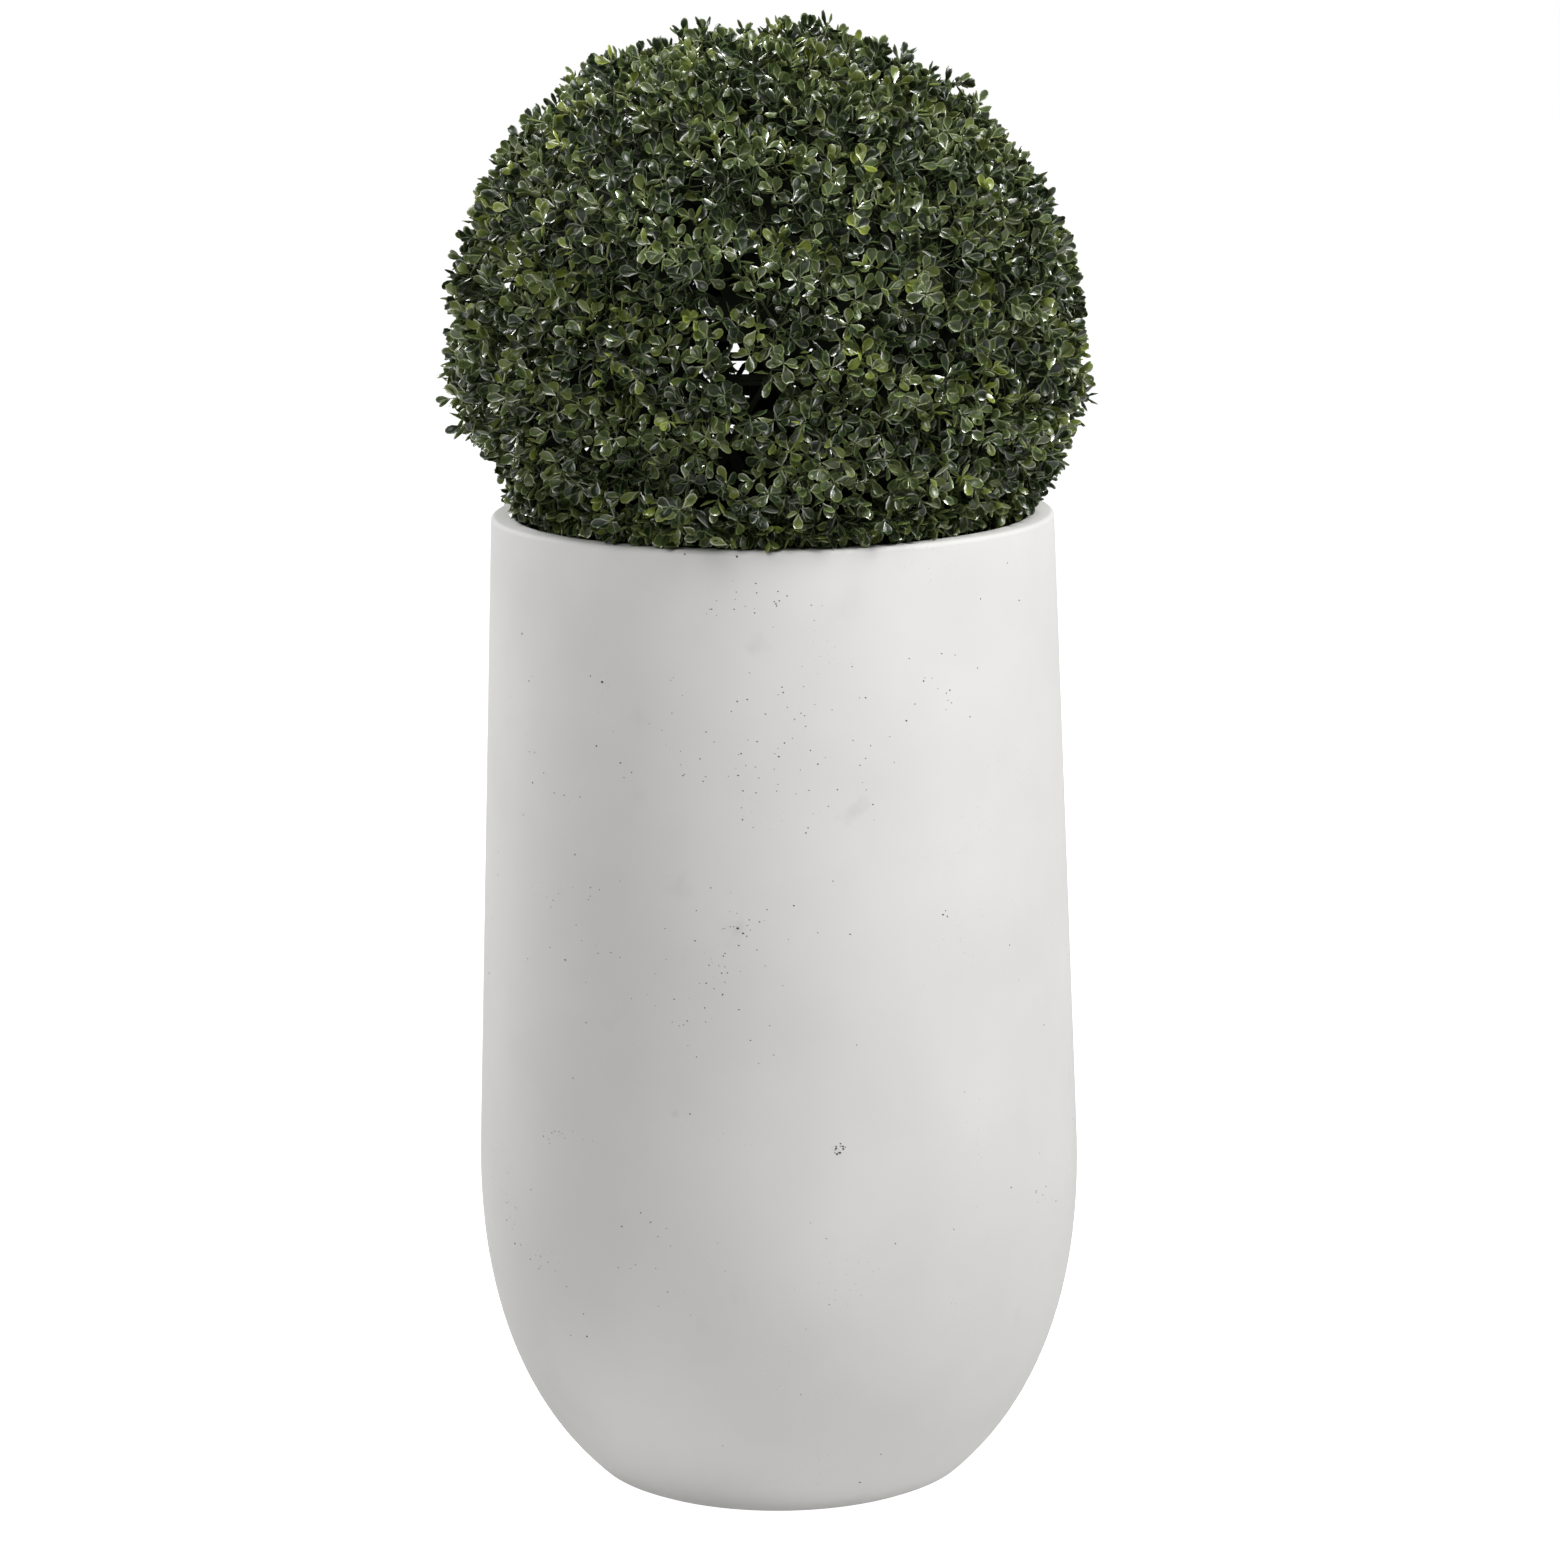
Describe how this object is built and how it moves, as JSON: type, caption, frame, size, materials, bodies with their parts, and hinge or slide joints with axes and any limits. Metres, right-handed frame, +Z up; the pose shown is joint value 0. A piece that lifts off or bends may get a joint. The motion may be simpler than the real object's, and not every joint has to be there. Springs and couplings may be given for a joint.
{
  "type": "artificial box topiary ball in planter",
  "caption": "Clipped round ball of moulded plastic box leaves standing in the mouth of a tall round fibre-cement planter with a rounded base.",
  "frame": {"origin": "middle of the planter's flat underside", "axes": "+Z up through the planter and the ball, -Y towards the front"},
  "size_m": [0.5433, 0.5453, 1.249],
  "materials": {
    "planter": "matt off-white fibre-cement with fine pinholes",
    "ballast": "loose clay granules, matt",
    "stem": "rough round stake",
    "foliage": "moulded green plastic leaves, satin gloss, with paler raised margins"
  },
  "bodies": {
    "root": {"planter": "planter", "ballast_fill": "ballast", "short_stem": "stem", "lower_foliage": "foliage", "upper_foliage": "foliage"}
  },
  "joints": []
}
